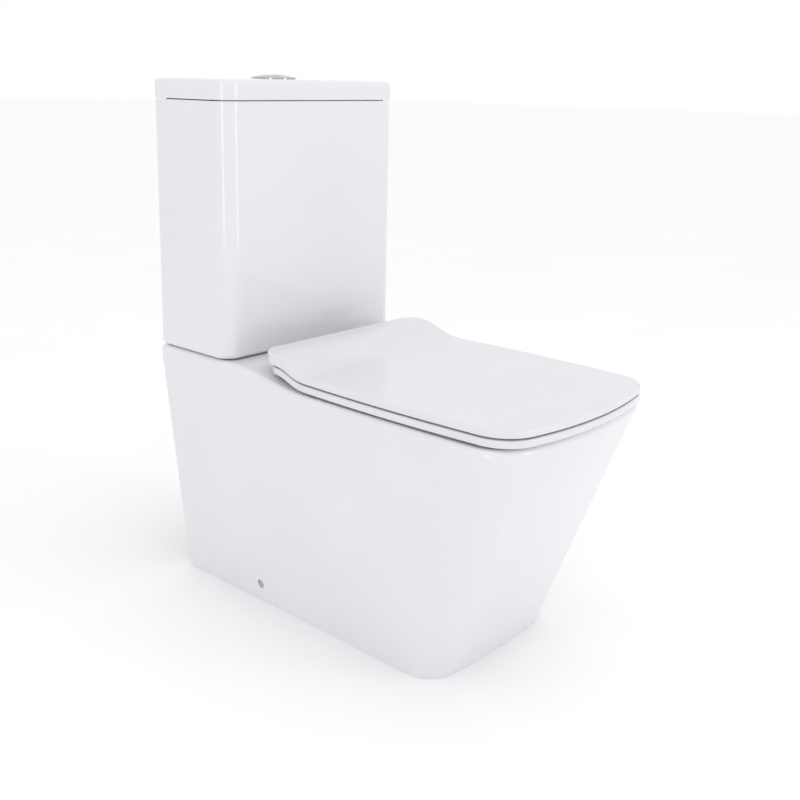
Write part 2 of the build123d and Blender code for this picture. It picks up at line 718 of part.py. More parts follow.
def bracket_screw():
    """The screw from the pan's side hole into the bracket, its head inside the hole."""
    inner = base_half_width - pan_wall - bracket_wall_gap - bracket_thickness - 4
    seat = side_wall_x(bracket_screw_z) - pan_wall + 1
    body = across(bracket_screw_radius, seat - inner, (seat + inner) / 2, bracket_y, bracket_screw_z)
    return body + across(side_hole_radius - 1, 3, seat + 1.5, bracket_y, bracket_screw_z)


def screw_cap():
    """The small bright cap that closes the side hole."""
    outer = side_wall_x(bracket_screw_z - side_hole_radius) - 0.8
    inner = side_wall_x(bracket_screw_z) - pan_wall + 4.2
    return across(side_hole_radius, outer - inner, (outer + inner) / 2, bracket_y, bracket_screw_z)


def sweep_up(flat, rise, front, rear, end):
    """A side-view line at height flat that sweeps up by rise towards the back."""
    reach = rear - front
    return [
        Line((-far, flat), (front, flat)),
        Bezier((front, flat), (front + 0.5 * reach, flat), (front + 0.62 * reach, flat + rise),
               (rear, flat + rise)),
        Line((rear, flat + rise), (end, flat + rise)),
    ]


def side_profile(bottom, top):
    """The solid between two side-view lines that share their ends, as wide as the seat."""
    low, high = bottom, top
    closing = [
        Line(low[-1] @ 1, high[-1] @ 1),
        Line(high[0] @ 0, low[0] @ 0),
    ]
    face = make_face(Curve() + [*low, *high, *closing])
    reach = seat_half_width + 20
    return Pos(-reach, 0, 0) * extrude(Plane.YZ * face, amount=2 * reach)


def seat_outline(grow, rear):
    """The seat's outline in plan: gently bowed sides and front, with rounded corners."""
    front = -seat_front - grow
    front_half, rear_half = seat_front_half_width + grow, seat_rear_half_width + grow
    ends = front + seat_bow
    widest = seat_half_width + grow
    middle = (rear + ends) / 2
    edges = [
        Line((-rear_half, rear + grow), (rear_half, rear + grow)),
        ThreePointArc((rear_half, rear + grow), (widest, middle), (front_half, ends)),
        ThreePointArc((front_half, ends), (0, front), (-front_half, ends)),
        ThreePointArc((-front_half, ends), (-widest, middle), (-rear_half, rear + grow)),
    ]
    face = make_face(Curve() + edges)
    by_depth = face.vertices().sort_by(Axis.Y)
    face = fillet(by_depth[:2], radius=seat_corner + grow)
    return fillet(face.vertices().sort_by(Axis.Y)[-2:], radius=seat_rear_corner + grow)


def seat_opening(bottom, top):
    """The hole in the ring, a rounded shape that narrows to the front."""
    front = seat_front - seat_opening_land
    length = front - seat_opening_rear
    face = Pos(0, -(front + seat_opening_rear) / 2, bottom) * RectangleRounded(
        2 * seat_opening_half_width, length, seat_opening_half_width - seat_opening_flat
    )
    return extrude(face, amount=top - bottom)


def outline_edges(body, rear):
    """The upper and lower edges that run all round a seat part, up to its back at rear."""
    found = []
    for face in body.faces():
        if abs(face.normal_at().Z) > 0.7 and face.area > 100:
            found += [e for e in face.edges() if runs_on_outline(e, rear)]
    return found


def runs_on_outline(edge, rear):
    """Whether an edge follows the outline, and doesn't cross the part from side to side."""
    size = edge.bounding_box().size
    crosses = size.X > 2 * seat_rear_half_width - 4 * seat_rear_corner and size.Y < 0.01
    return not crosses or abs(edge.center().Y - rear) < 0.1


def seat_ring():
    """The seat: a ring that sweeps up at the back, with two corners and four knuckle arms."""
    bay, rear = axis_y - knuckle_bay, axis_y + ring_ear
    body = side_profile(
        sweep_up(ring_z, ring_rise, ramp_front, bay, rear),
        sweep_up(ring_top_z, ring_rise, ramp_front, bay, rear),
    )
    body &= Pos(0, 0, ring_z - 1) * extrude(seat_outline(0, rear), amount=far)
    body = fillet(outline_edges(body, rear), radius=seat_edge_radius)
    body -= seat_opening(ring_z - 5, ring_top_z + 30)
    room = lid_knuckle_x + lid_knuckle_width / 2 + knuckle_side_gap
    body -= block((-room, bay, 0), (room, rear + 1, far))
    body -= block((-far, axis_y - ring_trim, 0), (far, rear + 1, far))
    half = ring_knuckle_width / 2
    top = ring_top_z + ring_rise
    arm = [
        (bay - 12, top - 8),
        (bay + 8, axis_z - knuckle_radius + 0.5),
        (axis_y, axis_z - knuckle_radius),
        (axis_y, axis_z + 2),
        (bay + 4, axis_z - 1),
        (bay - 12, top - 3),
    ]
    for side in (-1, 1):
        x = side * ring_knuckle_x
        web = extrude(Plane.YZ * make_face(Polyline(*arm, close=True)), amount=ring_knuckle_width)
        body += Pos(x - half, 0, 0) * web
        body += across(knuckle_radius, ring_knuckle_width, x, axis_y, axis_z)
        body -= across(hinge_pin_radius + running_clearance, ring_knuckle_width + 2, x, axis_y, axis_z)
    socket = ring_knuckle_x + half - damper_length / 2
    return body - across(damper_radius, damper_length, -socket, axis_y, axis_z)


def seat_lid():
    """The lid: a thin wrapped shell that sweeps up at the back over its hinges."""
    rear = axis_y + lid_rear_gap
    bay = axis_y - knuckle_bay
    crest = axis_y - knuckle_radius
    front = ramp_front - knuckle_bay / 2
    body = side_profile(
        sweep_up(lid_z, ring_rise, ramp_front, bay, rear),
        sweep_up(lid_top_z, lid_crest, front, crest, rear),
    )
    body &= Pos(0, 0, lid_z - 1) * extrude(seat_outline(0, rear), amount=far)
    body = fillet(outline_edges(body, rear), radius=seat_edge_radius)
    under_skin = side_profile(
        sweep_up(lid_z - 20, ring_rise, ramp_front, bay, rear),
        sweep_up(lid_top_z - lid_skin, lid_crest, front, crest, rear),
    )
    hollow = Pos(0, 0, lid_z - 21) * extrude(seat_outline(-lid_border, rear), amount=far)
    top_inside = lid_top_z + lid_crest - lid_skin
    side = lid_knuckle_x + lid_knuckle_width
    hollow += block((-side, bay - 10, lid_z + 2), (side, rear - lid_skin, top_inside))
    body -= hollow & under_skin
    for side in (-1, 1):
        x = side * hinge_x
        half = pillar_half_width + slot_side_gap
        slot_top = axis_z + knuckle_radius + knuckle_clearance
        body -= block((x - half, axis_y - slot_front_gap, 0), (x + half, rear + 1, slot_top))
        x = side * lid_knuckle_x
        half = lid_knuckle_width / 2
        web = block((x - half, axis_y - 7, axis_z), (x + half, axis_y + 7, top_inside + 1))
        body += web + across(knuckle_radius, lid_knuckle_width, x, axis_y, axis_z)
        body -= across(hinge_pin_radius + running_clearance, lid_knuckle_width + 2, x, axis_y, axis_z)
    socket = lid_knuckle_x + lid_knuckle_width / 2 - damper_length / 2
    return body - across(damper_radius, damper_length, socket, axis_y, axis_z)


def hinge_pillar():
    """A hinge post with its round foot, which sits in the pan's spot face."""
    foot = cylinder(rosette_radius, hinge_seat_z, hinge_seat_z + rosette_thickness, hinge_x, axis_y)
    post = block(
        (hinge_x - pillar_half_width, axis_y - pillar_half_depth, hinge_seat_z + 1),
        (hinge_x + pillar_half_width, axis_y + pillar_half_depth, axis_z),
    )
    body = foot + post + across(pillar_half_depth, 2 * pillar_half_width, hinge_x, axis_y, axis_z)
    body -= across(hinge_pin_radius, 2 * pillar_half_width + 2, hinge_x, axis_y, axis_z)
    return body - cylinder(stud_radius, hinge_seat_z - 1, hinge_seat_z + stud_grip, hinge_x, axis_y)


def hinge_pin():
    """The pin that a ring knuckle and a lid knuckle turn on."""
    end = lid_knuckle_x + lid_knuckle_width / 2 - 1
    start = hinge_x - pillar_half_width
    return across(hinge_pin_radius, end - start, (end + start) / 2, axis_y, axis_z)


def hinge_stud():
    """The stud that holds a pillar down through the deck."""
    return cylinder(stud_radius, hinge_under - stud_tail, hinge_seat_z + stud_grip, hinge_x, axis_y)


def damper(x):
    """A slow-close damper: a sleeve pressed into a knuckle, round the pin."""
    body = across(damper_radius, damper_length, x, axis_y, axis_z)
    return body - across(hinge_pin_radius + running_clearance, damper_length + 2, x, axis_y, axis_z)


def buffers(bottom, top, places):
    """Round rubber feet, one at each place and its mirror image."""
    return mirrored(Compound([cylinder(buffer_radius, bottom, top, x, y) for x, y in places]))


def ring_buffers():
    """The feet under the ring, between it and the rim."""
    x = (seat_opening_half_width + seat_front_half_width) / 2
    front, rear = -(seat_front - ring_buffer_front), -(seat_opening_rear + ring_buffer_rear)
    return buffers(rim_z, ring_z, [(x, front), (x, rear)])


def lid_buffers():
    """The feet under the lid, which rest on the ring."""
    x = (seat_opening_half_width + seat_front_half_width) / 2
    front, rear = -(seat_front - lid_buffer_front), -(seat_opening_rear + lid_buffer_rear)
    return buffers(ring_top_z, lid_top_z - lid_skin, [(x, front), (x, rear)])


def sub_parts():
    """Every piece, by its node's name."""
    valve = (0, inlet_y)
    fill = (fill_x, fill_y)
    deck_under = deck_z - deck_thickness
    bolts = [side * cistern_bolt_x for side in (-1, 1)]
    ring_socket = -(ring_knuckle_x + ring_knuckle_width / 2 - damper_length / 2)
    lid_socket = lid_knuckle_x + lid_knuckle_width / 2 - damper_length / 2
    return {
        "pan": pan(),
        "cistern": cistern(),
        "tank_lid": tank_lid(),
        "cistern_pads": strip_pads(deck_z, 24),
        "tank_lid_pads": strip_pads(cistern_top_z, 2),
        "button_bezel": button_bezel(),
        "bezel_locknut": bezel_locknut(),
        "full_flush_button": flush_button(1),
        "half_flush_button": flush_button(-1),
        "full_push_rod": push_rod(1),
        "half_push_rod": push_rod(-1),
        "flush_valve_base": flush_valve_base(),
        "flush_valve_cage": flush_valve_cage(),
        "lever_bracket": lever_bracket(),
        "flush_valve_washer": tank_washer(valve_flange_radius, tail_radius, *valve),
        "flush_valve_backnut": ring_nut(backnut_radius, tail_radius, cistern_z, *valve, sides=8),
        "overflow_tube": overflow_tube(),
        "flush_seal": flush_seal(),
        "full_flush_lever": flush_lever(1),
        "half_flush_lever": flush_lever(-1),
        "coupling_gasket": coupling_gasket(),
        "fill_valve_stem": fill_valve_stem(),
        "fill_valve_head": fill_valve_head(),
        "fill_valve_lever": fill_valve_lever(),
        "fill_valve_float": fill_valve_float(),
        "fill_valve_washer": tank_washer(fill_thread_radius + fill_collar - 1, fill_thread_radius, *fill),
        "fill_valve_backnut": ring_nut(
            fill_thread_radius + nut_flange, fill_thread_radius, cistern_z, *fill
        ),
        "cistern_bolts": Compound([cistern_bolt(x) for x in bolts]),
        "cistern_bolt_seals": Compound(
            [tank_washer(12, cistern_bolt_radius, x, inlet_y) for x in bolts]
        ),
        "cistern_wing_nuts": Compound(
            [wing_nut(cistern_bolt_radius, deck_under, x, inlet_y) for x in bolts]
        ),
        "floor_brackets": mirrored(floor_bracket()),
        "bracket_screws": mirrored(bracket_screw()),
        "screw_caps": mirrored(screw_cap()),
        "seat_ring": seat_ring(),
        "seat_lid": seat_lid(),
        "ring_buffers": ring_buffers(),
        "lid_buffers": lid_buffers(),
        "hinge_pillars": mirrored(hinge_pillar()),
        "hinge_pins": mirrored(hinge_pin()),
        "hinge_studs": mirrored(hinge_stud()),
        "hinge_wing_nuts": mirrored(wing_nut(stud_radius, hinge_under, hinge_x, axis_y)),
        "ring_damper": damper(ring_socket),
        "lid_damper": damper(lid_socket),
    }


os.makedirs("parts", exist_ok=True)
for name, part in sub_parts().items():
    export_step(Pos(0, overall_depth / 2, 0) * part, f"parts/{name}.step")
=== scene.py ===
import bpy
import bmesh
import json
from math import radians, pi
from mathutils import Matrix, Vector


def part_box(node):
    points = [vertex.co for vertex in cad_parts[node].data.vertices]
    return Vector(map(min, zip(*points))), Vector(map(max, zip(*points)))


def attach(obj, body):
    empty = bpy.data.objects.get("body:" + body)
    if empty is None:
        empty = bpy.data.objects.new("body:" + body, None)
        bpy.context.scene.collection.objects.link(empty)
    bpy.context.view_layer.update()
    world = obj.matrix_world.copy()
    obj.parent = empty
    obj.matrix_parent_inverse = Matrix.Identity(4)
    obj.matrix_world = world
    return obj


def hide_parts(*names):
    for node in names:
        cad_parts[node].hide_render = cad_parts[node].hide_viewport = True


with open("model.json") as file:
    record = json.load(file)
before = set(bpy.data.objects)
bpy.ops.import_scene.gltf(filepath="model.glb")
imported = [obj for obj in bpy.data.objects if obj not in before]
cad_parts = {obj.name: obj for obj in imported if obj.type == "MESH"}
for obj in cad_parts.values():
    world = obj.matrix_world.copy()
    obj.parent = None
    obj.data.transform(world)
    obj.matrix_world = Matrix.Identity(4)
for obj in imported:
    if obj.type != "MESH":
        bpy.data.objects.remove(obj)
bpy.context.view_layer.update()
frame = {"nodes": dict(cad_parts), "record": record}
print("frame loaded")

colourBand = (0.3, 0.7)  # where a tint's dark end stops and its light end starts


def newMaterial(name, **sockets):
    # a socket's spaces are written as underscores
    material = bpy.data.materials.new(name)
    material.use_nodes = True
    shader = material.node_tree.nodes["Principled BSDF"]
    for socket, value in sockets.items():
        shader.inputs[socket.replace("_", " ")].default_value = value
    return material


def noiseOn(material, scale, detail, stretch):
    # noise that sits on the piece in real metres
    nodes, links = material.node_tree.nodes, material.node_tree.links
    place = nodes.new("ShaderNodeTexCoord")
    mapping = nodes.new("ShaderNodeMapping")
    mapping.inputs["Scale"].default_value = stretch
    noise = nodes.new("ShaderNodeTexNoise")
    noise.inputs["Scale"].default_value = scale
    noise.inputs["Detail"].default_value = detail
    links.new(place.outputs["Object"], mapping.inputs["Vector"])
    links.new(mapping.outputs["Vector"], noise.inputs["Vector"])
    return noise


def tint(material, noise, dark, light):
    # noise turned into a small range of colour
    nodes, links = material.node_tree.nodes, material.node_tree.links
    ramp = nodes.new("ShaderNodeValToRGB")
    for stop, place, colour in zip(ramp.color_ramp.elements, colourBand, (dark, light)):
        stop.position = place
        stop.color = (*colour, 1)
    links.new(noise.outputs["Fac"], ramp.inputs["Fac"])
    links.new(ramp.outputs["Color"], nodes["Principled BSDF"].inputs["Base Color"])


def roughenBy(material, noise, low, high):
    # noise turned into a small range of roughness
    nodes, links = material.node_tree.nodes, material.node_tree.links
    ramp = nodes.new("ShaderNodeMapRange")
    ramp.inputs["To Min"].default_value = low
    ramp.inputs["To Max"].default_value = high
    links.new(noise.outputs["Fac"], ramp.inputs["Value"])
    links.new(ramp.outputs["Result"], nodes["Principled BSDF"].inputs["Roughness"])


def bumpBy(material, noise, strength, height):
    nodes, links = material.node_tree.nodes, material.node_tree.links
    bump = nodes.new("ShaderNodeBump")
    bump.inputs["Strength"].default_value = strength
    bump.inputs["Distance"].default_value = height
    links.new(noise.outputs["Fac"], bump.inputs["Height"])
    links.new(bump.outputs["Normal"], nodes["Principled BSDF"].inputs["Normal"])


def finish(name, dark, light, roughness, bump, grain, detail, stretch=(1, 1, 1), **sockets):
    # grain is the coarse noise's scale and the fine one's, bump is a strength and a height
    material = newMaterial(name, **sockets)
    coarse, fine = [noiseOn(material, scale, detail, stretch) for scale in grain]
    tint(material, coarse, dark, light)
    roughenBy(material, fine, *roughness)
    bumpBy(material, fine, *bump)
    return material


finishes = {
    "glazed_ceramic": finish("whiteGlaze", dark=(0.725, 0.716, 0.757), light=(0.745, 0.736, 0.777),
                             roughness=(0.07, 0.13), bump=(0.05, 0.0004), grain=(6, 14), detail=2,
                             IOR=1.52, Coat_Weight=0.5, Coat_Roughness=0.03),
    "seat_plastic": finish("whiteSeat", dark=(0.705, 0.697, 0.735), light=(0.72, 0.712, 0.75),
                           roughness=(0.12, 0.18), bump=(0.04, 0.0002), grain=(9, 60), detail=2,
                           IOR=1.5),
    "chrome_trim": finish("chromeTrim", dark=(0.4, 0.4, 0.41), light=(0.48, 0.48, 0.49),
                          roughness=(0.08, 0.16), bump=(0.04, 0.0001), grain=(40, 400), detail=3,
                          Metallic=1.0),
    "hinge_metal": finish("satinSteel", dark=(0.5, 0.5, 0.51), light=(0.58, 0.58, 0.59),
                          roughness=(0.24, 0.36), bump=(0.08, 0.0001), grain=(50, 900), detail=4,
                          stretch=(1, 1, 14), Metallic=1.0),
    "zinc_steel": finish("zincPlate", dark=(0.5, 0.5, 0.47), light=(0.6, 0.6, 0.56),
                         roughness=(0.28, 0.42), bump=(0.1, 0.0001), grain=(90, 700), detail=4,
                         Metallic=1.0),
    "valve_plastic": finish("naturalPlastic", dark=(0.76, 0.76, 0.73), light=(0.8, 0.8, 0.77),
                            roughness=(0.4, 0.52), bump=(0.1, 0.0001), grain=(30, 1200), detail=4,
                            IOR=1.5),
    "valve_grey": finish("greyPlastic", dark=(0.28, 0.3, 0.33), light=(0.33, 0.35, 0.38),
                         roughness=(0.4, 0.52), bump=(0.1, 0.0001), grain=(30, 1200), detail=4,
                         IOR=1.5),
    "valve_blue": finish("bluePlastic", dark=(0.02, 0.09, 0.3), light=(0.03, 0.12, 0.36),
                         roughness=(0.35, 0.48), bump=(0.1, 0.0001), grain=(30, 1200), detail=4,
                         IOR=1.5),
    "rubber": finish("blackRubber", dark=(0.012, 0.012, 0.012), light=(0.022, 0.022, 0.022),
                     roughness=(0.6, 0.8), bump=(0.25, 0.0002), grain=(60, 900), detail=5),
    "silicone": finish("redSilicone", dark=(0.42, 0.04, 0.03), light=(0.5, 0.06, 0.04),
                       roughness=(0.4, 0.55), bump=(0.1, 0.0001), grain=(40, 700), detail=4,
                       Subsurface_Weight=0.1),
    "buffer_rubber": finish("clearRubber", dark=(0.66, 0.66, 0.66), light=(0.74, 0.74, 0.74),
                            roughness=(0.35, 0.5), bump=(0.1, 0.0001), grain=(60, 900), detail=4,
                            Subsurface_Weight=0.2),
}

slotOf = {part["node"]: part["material_slot"] for part in frame["record"]["subparts"]}
for name, node in frame["nodes"].items():
    node.data.materials.clear()
    node.data.materials.append(finishes[slotOf[name]])
print("finishes made")

# how meshes are cleaned: corners this close are one, slivers this thin go,
# edges this sharp stay sharp, and a level is met to within "near"
meshCare = {"weld": 1e-6, "sliver": 1e-7, "sharpAngle": 35, "near": 1e-5}


def pieceFrom(mesh, name, body, slot, *nodes):
    # a finished bmesh becomes a piece that stands for its CAD nodes
    bmesh.ops.remove_doubles(mesh, verts=mesh.verts, dist=meshCare["weld"])
    bmesh.ops.dissolve_degenerate(mesh, dist=meshCare["sliver"], edges=mesh.edges)
    bmesh.ops.recalc_face_normals(mesh, faces=mesh.faces)
    if mesh.calc_volume(signed=True) < 0:  # all of it came out inside out
        bmesh.ops.reverse_faces(mesh, faces=mesh.faces)
    for face in mesh.faces:
        face.smooth = True
    for edge in mesh.edges:
        edge.smooth = edge.calc_face_angle(0) < radians(meshCare["sharpAngle"])
    data = bpy.data.meshes.new(name)
    mesh.to_mesh(data)
    mesh.free()
    data.materials.append(finishes[slot])
    piece = bpy.data.objects.new(name, data)
    bpy.context.scene.collection.objects.link(piece)
    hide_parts(*nodes)
    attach(piece, body)
    return piece


def slab(low, high):
    # a block between two corners
    mesh = bmesh.new()
    bmesh.ops.create_cube(mesh, size=1)
    low, high = Vector(low), Vector(high)
    bmesh.ops.scale(mesh, vec=high - low, verts=mesh.verts)
    bmesh.ops.translate(mesh, vec=(high + low) / 2, verts=mesh.verts)
    return mesh


def rod(x, y, radius, low, high, segments=48):
    # an upright cylinder
    mesh = bmesh.new()
    bmesh.ops.create_cone(mesh, cap_ends=True, segments=segments, radius1=radius, radius2=radius,
                          depth=high - low, matrix=Matrix.Translation((x, y, (low + high) / 2)))
    return mesh


def turned(profile, x, y, steps=96):
    # an open line of (radius, height) pairs, from axis to axis, spun all the way round
    mesh = bmesh.new()
    corners = [mesh.verts.new((x + radius, y, height)) for radius, height in profile]
    for first, second in zip(corners, corners[1:]):
        mesh.edges.new((first, second))
    bmesh.ops.spin(mesh, geom=mesh.verts[:] + mesh.edges[:], cent=(x, y, 0), axis=(0, 0, 1),
                   angle=2 * pi, steps=steps, use_merge=True)
    bmesh.ops.remove_doubles(mesh, verts=mesh.verts, dist=meshCare["weld"])
    bmesh.ops.recalc_face_normals(mesh, faces=mesh.faces)
    return mesh


def joined(work, other, how="DIFFERENCE"):
    # one closed mesh taken from another, or welded to it
    holders = []
    for mesh in (work, other):
        mesh.normal_update()
        data = bpy.data.meshes.new("working")
        mesh.to_mesh(data)
        mesh.free()
        holder = bpy.data.objects.new("working", data)
        bpy.context.scene.collection.objects.link(holder)
        holders.append(holder)
    cut = holders[0].modifiers.new("cut", "BOOLEAN")
    cut.operation, cut.object, cut.solver = how, holders[1], "EXACT"
    graph = bpy.context.evaluated_depsgraph_get()
    result = bmesh.new()
    result.from_mesh(holders[0].evaluated_get(graph).to_mesh())
    for holder in holders:
        bpy.data.objects.remove(holder)
    return result


def cutThrough(mesh, place, normal, clearOuter=False):
    # a flat cut across a whole mesh, which can drop the side that the normal points to
    bmesh.ops.bisect_plane(mesh, geom=mesh.verts[:] + mesh.edges[:] + mesh.faces[:],
                           plane_co=place, plane_no=normal, clear_outer=clearOuter)


def roundEdges(mesh, wanted, radius, segments):
    bmesh.ops.bevel(mesh, geom=[edge for edge in mesh.edges if wanted(edge)], offset=radius,
                    offset_type="OFFSET", segments=segments, profile=0.5, affect="EDGES",
                    material=-1)


def onLevel(height):
    # picks the edges that lie at one height
    return lambda edge: all(abs(vert.co.z - height) < meshCare["near"] for vert in edge.verts)


def uprightAt(depth):
    # picks the upright edges of a block's front or back
    def wanted(edge):
        first, second = [vert.co for vert in edge.verts]
        return abs(first.z - second.z) > meshCare["near"] and abs(first.y - depth) < meshCare["near"]
    return wanted


def middleOf(node):
    low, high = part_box(node)
    return (Vector(low) + Vector(high)) / 2


planSegments = {"front": 20, "rear": 8}


def tankBlock(low, high, frontCorner, rearCorner):
    # the tank's rounded plan, drawn up between two corners
    mesh = slab(low, high)
    roundEdges(mesh, uprightAt(low[1]), frontCorner, planSegments["front"])
    roundEdges(mesh, uprightAt(high[1]), rearCorner, planSegments["rear"])
    return mesh


# the tank
tankSizes = {"wall": 0.011, "frontCorner": 0.030, "rearCorner": 0.008, "footEdge": 0.008,
             "footSegments": 6, "insideCorner": 0.002, "insideEdge": 0.0019, "insideSegments": 3,
             "valveHole": 0.031, "fillHole": 0.012, "boltHole": 0.0055, "boltSpread": 0.088,
             "drillBelow": 0.01, "drillAbove": 0.03}

low, high = map(Vector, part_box("cistern"))
wall = Vector((tankSizes["wall"],) * 3)
mesh = tankBlock(low, high, tankSizes["frontCorner"], tankSizes["rearCorner"])
roundEdges(mesh, onLevel(low.z), tankSizes["footEdge"], tankSizes["footSegments"])
inside = tankBlock(low + wall, (high.x - wall.x, high.y - wall.y, high.z + wall.z),
                   tankSizes["frontCorner"] - wall.x, tankSizes["insideCorner"])
roundEdges(inside, onLevel(low.z + wall.z), tankSizes["insideEdge"], tankSizes["insideSegments"])
mesh = joined(mesh, inside)
flushSpot, fillSpot = middleOf("flush_valve_base"), middleOf("fill_valve_washer")
for x, y, radius in ((flushSpot.x, flushSpot.y, tankSizes["valveHole"]),
                     (fillSpot.x, fillSpot.y, tankSizes["fillHole"]),
                     (tankSizes["boltSpread"], flushSpot.y, tankSizes["boltHole"]),
                     (-tankSizes["boltSpread"], flushSpot.y, tankSizes["boltHole"])):
    mesh = joined(mesh, rod(x, y, radius, low.z - tankSizes["drillBelow"],
                            low.z + tankSizes["drillAbove"]))
pieceFrom(mesh, "tankShell", "root", "glazed_ceramic", "cistern")
print("cistern made")

# the tank's lid, with the rib under it that keeps it from sliding
coverSizes = {"height": 0.031, "top": 0.012, "frontCorner": 0.0316, "rearCorner": 0.0096,
              "edge": 0.007, "edgeSegments": 8, "footEdge": 0.001, "footSegments": 3,
              "rib": 0.014, "ribWall": 0.006, "ribOverlap": 0.004, "insideCorner": 0.002,
              "overhang": 0.0016, "crown": 0.0022, "cuts": 14, "hole": 0.0285,
              "holeSegments": 96, "cutClear": 0.01}

low, high = map(Vector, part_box("tank_lid"))
foot = high.z - coverSizes["height"]
mesh = tankBlock((low.x, low.y, foot), high, coverSizes["frontCorner"], coverSizes["rearCorner"])
roundEdges(mesh, onLevel(high.z), coverSizes["edge"], coverSizes["edgeSegments"])
roundEdges(mesh, onLevel(foot), coverSizes["footEdge"], coverSizes["footSegments"])
# cuts across it let its top bulge softly, highest in the middle
for normal in ((1, 0, 0), (0, 1, 0)):
    for step in range(1, coverSizes["cuts"]):
        cutThrough(mesh, low.lerp(high, step / coverSizes["cuts"]), normal)
middle, reach = (low + high) / 2, (high - low) / 2
for vert in mesh.verts:
    rise = (vert.co.z - foot - coverSizes["top"]) / (coverSizes["height"] - coverSizes["top"])
    if rise > 0:
        across, along = (vert.co.x - middle.x) / reach.x, (vert.co.y - middle.y) / reach.y
        vert.co.z -= coverSizes["crown"] * rise * min(1, (across ** 2 + along ** 2) / 2)
sideIn = coverSizes["rib"] + coverSizes["overhang"]  # the lid doesn't overhang at the back
ribCorner = coverSizes["frontCorner"] - sideIn
rib = tankBlock(low + Vector((sideIn, sideIn, 0)),
                (high.x - sideIn, high.y - coverSizes["rib"], foot + coverSizes["ribOverlap"]),
                ribCorner, coverSizes["insideCorner"])
mesh = joined(mesh, rib, "UNION")
ribWall = coverSizes["ribWall"]
hollow = tankBlock(low + Vector((sideIn, sideIn, 0)) + Vector((ribWall, ribWall, 0))
                   - Vector((0, 0, coverSizes["cutClear"])),
                   (high.x - sideIn - ribWall, high.y - coverSizes["rib"] - ribWall,
                    high.z - coverSizes["top"]),
                   ribCorner - ribWall, coverSizes["insideCorner"])
mesh = joined(mesh, hollow)
centre = middleOf("button_bezel")
mesh = joined(mesh, rod(centre.x, centre.y, coverSizes["hole"], foot,
                        high.z + coverSizes["cutClear"], coverSizes["holeSegments"]))
pieceFrom(mesh, "tankCover", "tank_lid", "glazed_ceramic", "tank_lid")
print("tank lid made")

# the bezel and the two halves of the button, under one shallow dome
buttonSizes = {"rise": 0.0046, "rim": 0.002, "rimEdge": 0.0006, "bore": 0.0246, "barrel": 0.0275,
               "web": 0.004, "bezelSteps": 8, "radius": 0.024, "gap": 0.0006, "split": -0.005,
               "thickness": 0.008, "edge": 0.0005, "edgeSegments": 3, "edgeAngle": 0.8,
               "domeSteps": 10, "stem": 0.0045, "stemX": 0.013, "stemPlay": 0.0006,
               "stemOverlap": 0.001, "rod": 0.0025, "rodDepth": 0.012, "rodBelow": 0.005,
               "drill": 0.01}

low, high = map(Vector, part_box("button_bezel"))
flange = (high.x - low.x) / 2
ball = (flange ** 2 + buttonSizes["rise"] ** 2) / (2 * buttonSizes["rise"])
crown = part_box("full_flush_button")[1][2]


def domeLine(start, end, steps):
    # points on the shared dome between two radii
    radii = [start + (end - start) * step / steps for step in range(steps + 1)]
    return [(radius, crown - ball + (ball ** 2 - radius ** 2) ** 0.5) for radius in radii]


flangeFoot = crown - buttonSizes["rise"] - buttonSizes["rim"]
rimEdge = buttonSizes["rimEdge"]
web = low.z + buttonSizes["web"]
profile = [(0, web), (buttonSizes["bore"], web)]
profile += domeLine(buttonSizes["bore"], flange - rimEdge, buttonSizes["bezelSteps"])
profile += [(flange, flangeFoot + buttonSizes["rim"] - rimEdge), (flange, flangeFoot),
            (buttonSizes["barrel"], flangeFoot), (buttonSizes["barrel"], low.z), (0, low.z)]
mesh = turned(profile, centre.x, centre.y)
for side in (-1, 1):
    mesh = joined(mesh, rod(side * buttonSizes["stemX"], centre.y,
                            buttonSizes["stem"] + buttonSizes["stemPlay"],
                            low.z - buttonSizes["drill"], low.z + buttonSizes["drill"]))
pieceFrom(mesh, "bezelRing", "tank_lid", "chrome_trim", "button_bezel")

under = crown - buttonSizes["thickness"]
overlap = under + buttonSizes["stemOverlap"]


def topCrease(edge):
    # the sharp edges round a button's top, which are rounded, and not the ones under it
    lowest = min(vert.co.z for vert in edge.verts)
    return edge.calc_face_angle(0) > buttonSizes["edgeAngle"] and lowest > overlap


for side, name, body, node in ((1, "fullButton", "full_button", "full_flush_button"),
                               (-1, "halfButton", "half_button", "half_flush_button")):
    profile = [(0, under), (buttonSizes["radius"], under)]
    profile += domeLine(buttonSizes["radius"], 0, buttonSizes["domeSteps"])
    mesh = turned(profile, centre.x, centre.y)
    place = (buttonSizes["split"] + side * buttonSizes["gap"], centre.y, crown)
    cutThrough(mesh, place, (-side, 0, 0), clearOuter=True)
    bmesh.ops.holes_fill(mesh, edges=[edge for edge in mesh.edges if edge.is_boundary])
    bmesh.ops.recalc_face_normals(mesh, faces=mesh.faces)
    roundEdges(mesh, topCrease, buttonSizes["edge"], buttonSizes["edgeSegments"])
    stemX, stemFoot = side * buttonSizes["stemX"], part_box(node)[0][2]
    mesh = joined(mesh, rod(stemX, centre.y, buttonSizes["stem"], stemFoot, overlap), "UNION")
    mesh = joined(mesh, rod(stemX, centre.y, buttonSizes["rod"], stemFoot - buttonSizes["rodBelow"],
                            stemFoot + buttonSizes["rodDepth"]))
    pieceFrom(mesh, name, body, "chrome_trim", node)
print("flush buttons made")

# the caps over the side screws
capSizes = {"radius": 0.007, "length": 0.0052, "segments": 48, "edge": 0.0012, "edgeSegments": 4,
            "dish": 0.0035, "dishDepth": 0.0005}

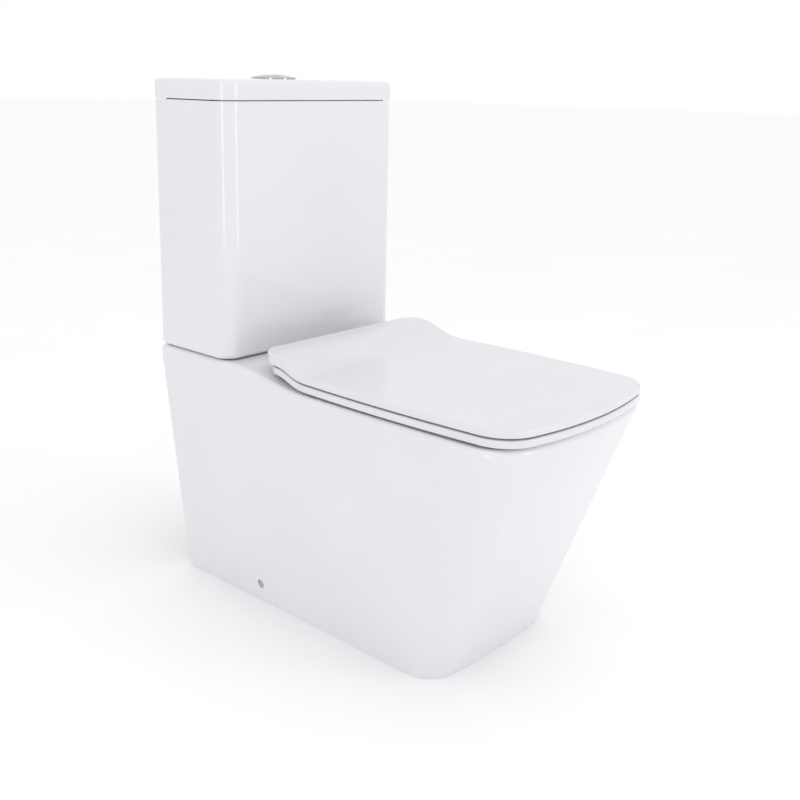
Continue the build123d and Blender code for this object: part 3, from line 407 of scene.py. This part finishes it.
low, high = map(Vector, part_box("screw_caps"))
caps = bmesh.new()
for side in (-1, 1):
    cap = bmesh.new()
    spot = ((high.x - capSizes["length"] / 2) * side, (low.y + high.y) / 2, (low.z + high.z) / 2)
    bmesh.ops.create_cone(cap, cap_ends=True, segments=capSizes["segments"],
                          radius1=capSizes["radius"], radius2=capSizes["radius"],
                          depth=capSizes["length"], matrix=Matrix.Rotation(side * pi / 2, 4, "Y"))
    outer = side * capSizes["length"] / 2
    roundEdges(cap, lambda edge: all(abs(vert.co.x - outer) < meshCare["near"]
                                     for vert in edge.verts),
               capSizes["edge"], capSizes["edgeSegments"])
    face = max(cap.faces, key=lambda face: face.calc_center_median().x * side + face.calc_area())
    bmesh.ops.inset_region(cap, faces=[face],
                           thickness=capSizes["radius"] - capSizes["edge"] - capSizes["dish"])
    bmesh.ops.translate(cap, vec=(-side * capSizes["dishDepth"], 0, 0), verts=face.verts)
    bmesh.ops.translate(cap, vec=spot, verts=cap.verts)
    held = bpy.data.meshes.new("cap")
    cap.to_mesh(held)
    cap.free()
    caps.from_mesh(held)
pieceFrom(caps, "sideCaps", "root", "chrome_trim", "screw_caps")
print("screw caps made")

# a pale room with two tall strips in front and a wide box above, all aimed at the heart
studio = {"floorSide": 60.0, "air": 1.0, "heart": (-0.18, 0.18, 0.6)}
softboxes = {
    "leftStrip": {"place": (-2.34, -1.27, 1.0), "width": 0.5, "height": 2.4, "power": 6.5},
    "frontStrip": {"place": (0.88, -2.18, 1.0), "width": 0.5, "height": 2.4, "power": 6.5},
    "topBox": {"place": (0, -0.3, 2.8), "width": 2.4, "height": 2.4, "power": 5.0},
}

bpy.ops.mesh.primitive_plane_add(size=studio["floorSide"])
floor = bpy.context.object
floor.name = "floor"
floor.data.materials.append(finish("paleFloor", dark=(0.955, 0.955, 0.955), light=(0.97, 0.97, 0.97),
                                   roughness=(0.7, 0.8), bump=(0.02, 0.0001), grain=(2, 300),
                                   detail=2))

world = bpy.data.worlds.new("studioAir")
world.use_nodes = True
world.node_tree.nodes["Background"].inputs["Color"].default_value = (1, 1, 1, 1)
world.node_tree.nodes["Background"].inputs["Strength"].default_value = studio["air"]
bpy.context.scene.world = world

for name, box in softboxes.items():
    lamp = bpy.data.lights.new(name, "AREA")
    lamp.shape = "RECTANGLE"
    lamp.size, lamp.size_y, lamp.energy = box["width"], box["height"], box["power"]
    holder = bpy.data.objects.new(name, lamp)
    holder.location = box["place"]
    holder.rotation_mode = "QUATERNION"
    aim = Vector(studio["heart"]) - Vector(box["place"])
    holder.rotation_quaternion = aim.to_track_quat("-Z", "Y")
    bpy.context.scene.collection.objects.link(holder)

view = {"place": (-1.1513, -1.0199, 0.8179), "turn": 48.38, "dip": 12.91, "roll": 1.12,
        "lens": 47.39, "sensor": 36, "shift": -0.1}

lens = bpy.data.cameras.new("camera")
lens.lens, lens.sensor_width, lens.shift_y = view["lens"], view["sensor"], view["shift"]
camera = bpy.data.objects.new("camera", lens)
look = (Matrix.Rotation(radians(-view["turn"]), 4, "Z")
        @ Matrix.Rotation(radians(90 - view["dip"]), 4, "X")
        @ Matrix.Rotation(radians(view["roll"]), 4, "Z"))
camera.matrix_world = Matrix.Translation(view["place"]) @ look
bpy.context.scene.collection.objects.link(camera)
bpy.context.scene.camera = camera
bpy.context.scene.view_settings.view_transform = "Standard"
print("studio and camera placed")
